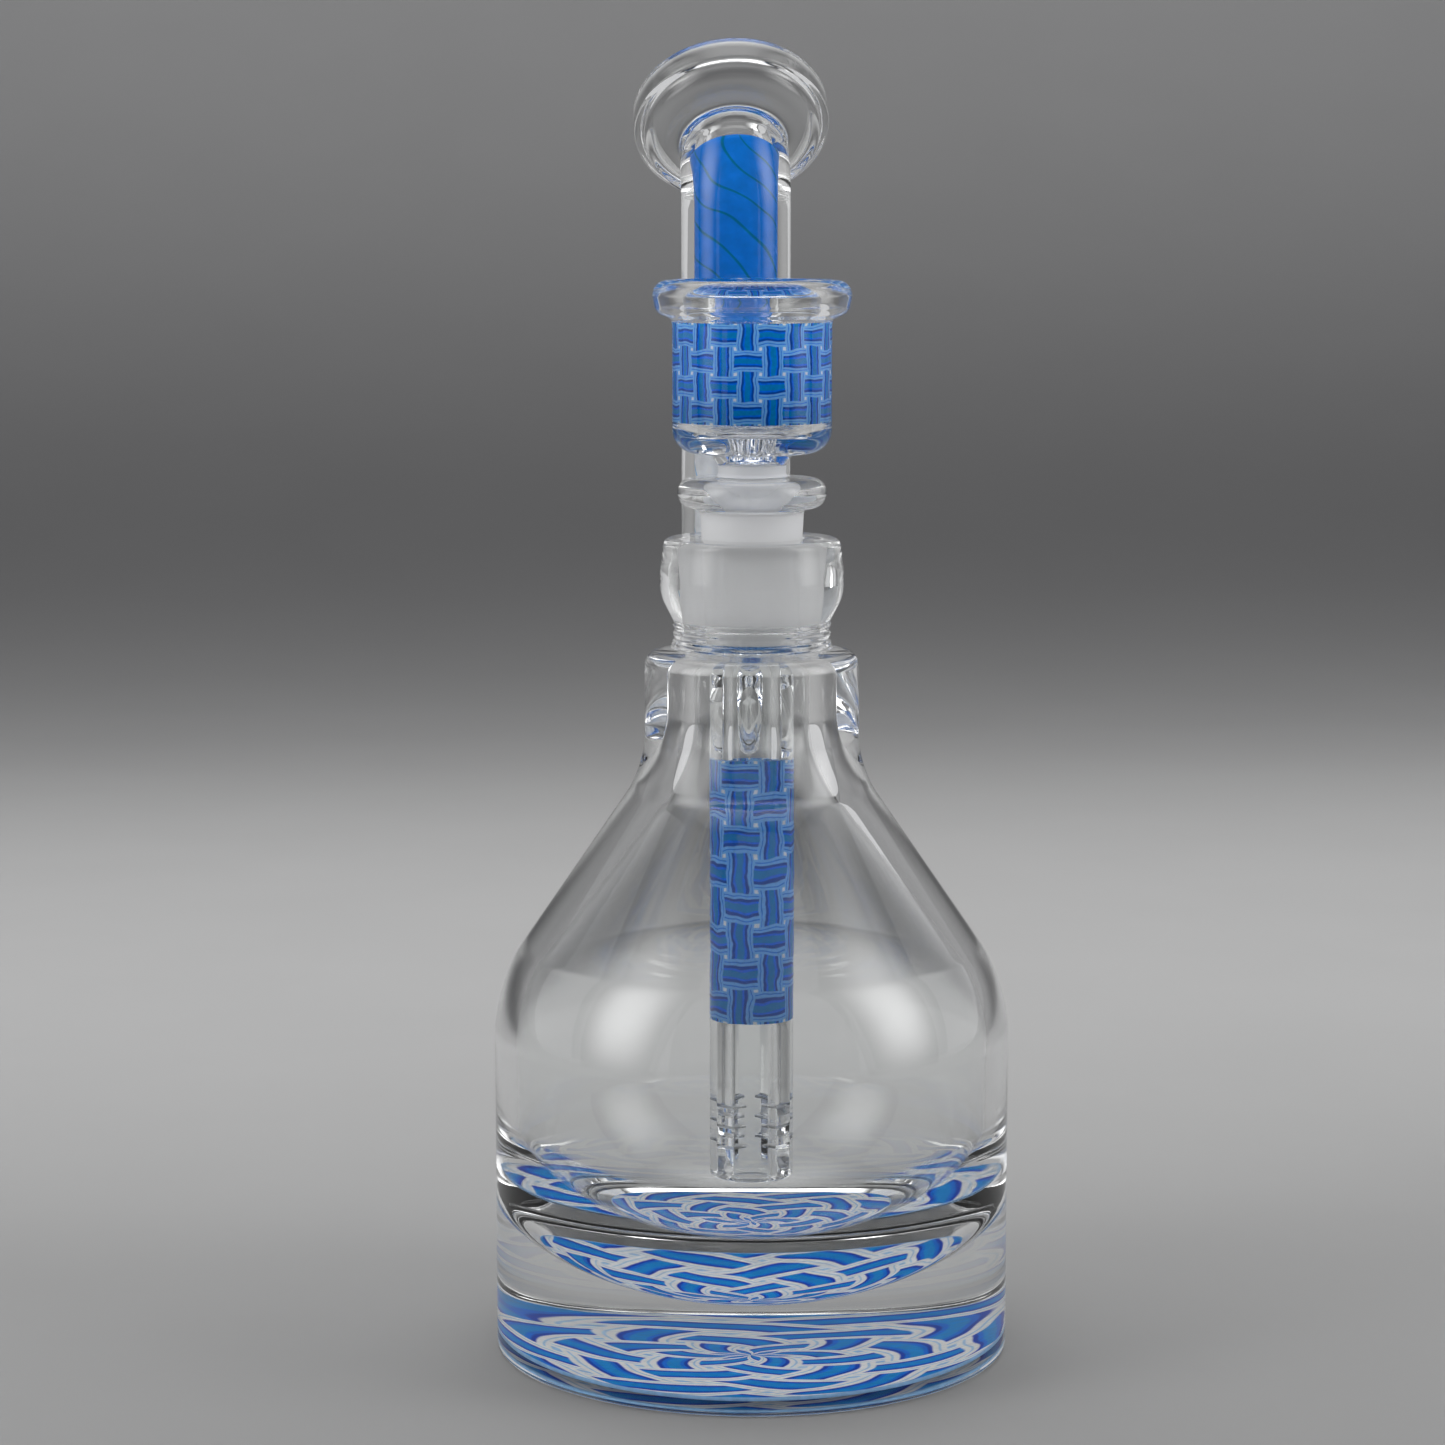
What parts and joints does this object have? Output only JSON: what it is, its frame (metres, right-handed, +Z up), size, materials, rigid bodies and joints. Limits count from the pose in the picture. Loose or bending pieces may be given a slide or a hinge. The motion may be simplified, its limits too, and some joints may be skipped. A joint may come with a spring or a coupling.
{
  "type": "glass water pipe",
  "caption": "Clear glass water pipe: thick patterned base, conical bottle, fixed downstem, bent mouthpiece tube and a lift-out bowl slide on a ground taper joint.",
  "frame": {"origin": "centre of the underside of the base, on the surface the pipe stands on", "axes": "+Z up along the axis of the bottle, the joint and the slide; +Y towards the mouthpiece at the back"},
  "size_m": [0.075, 0.0805, 0.1907],
  "materials": {
    "clear_glass": "clear polished borosilicate",
    "ground_glass": "frosted ground surface",
    "weave_glass": "blue basket-weave pattern in the glass",
    "swirl_glass": "blue and white woven swirl pattern",
    "blue_lining": "glossy blue with thin teal lines",
    "white_lining": "glossy white with thin pale blue lines"
  },
  "bodies": {
    "bottle": {"base_foot": "clear_glass", "patterned_disc": "swirl_glass", "base_block": "clear_glass", "bottle_shell": "clear_glass", "weld_ring": "clear_glass", "joint_socket": "clear_glass", "downstem_top": "clear_glass", "downstem_weave": "weave_glass", "downstem_diffuser": "clear_glass", "tube_foot": "clear_glass", "lower_bend": "clear_glass", "riser_tube": "clear_glass", "upper_bend": "clear_glass", "mouthpiece_lip": "clear_glass", "lining_white": "white_lining", "lining_blue": "blue_lining"},
    "slide": {"ground_cone": "ground_glass", "grip_ring": "clear_glass", "slide_stem": "clear_glass", "bowl_floor": "clear_glass", "bowl_weave_band": "weave_glass", "bowl_rim": "clear_glass"}
  },
  "joints": [
    {"name": "slide_lift", "type": "slide", "parent": "bottle", "child": "slide", "axis": [0, 0, 1], "range_m": [0, 0.09]}
  ]
}
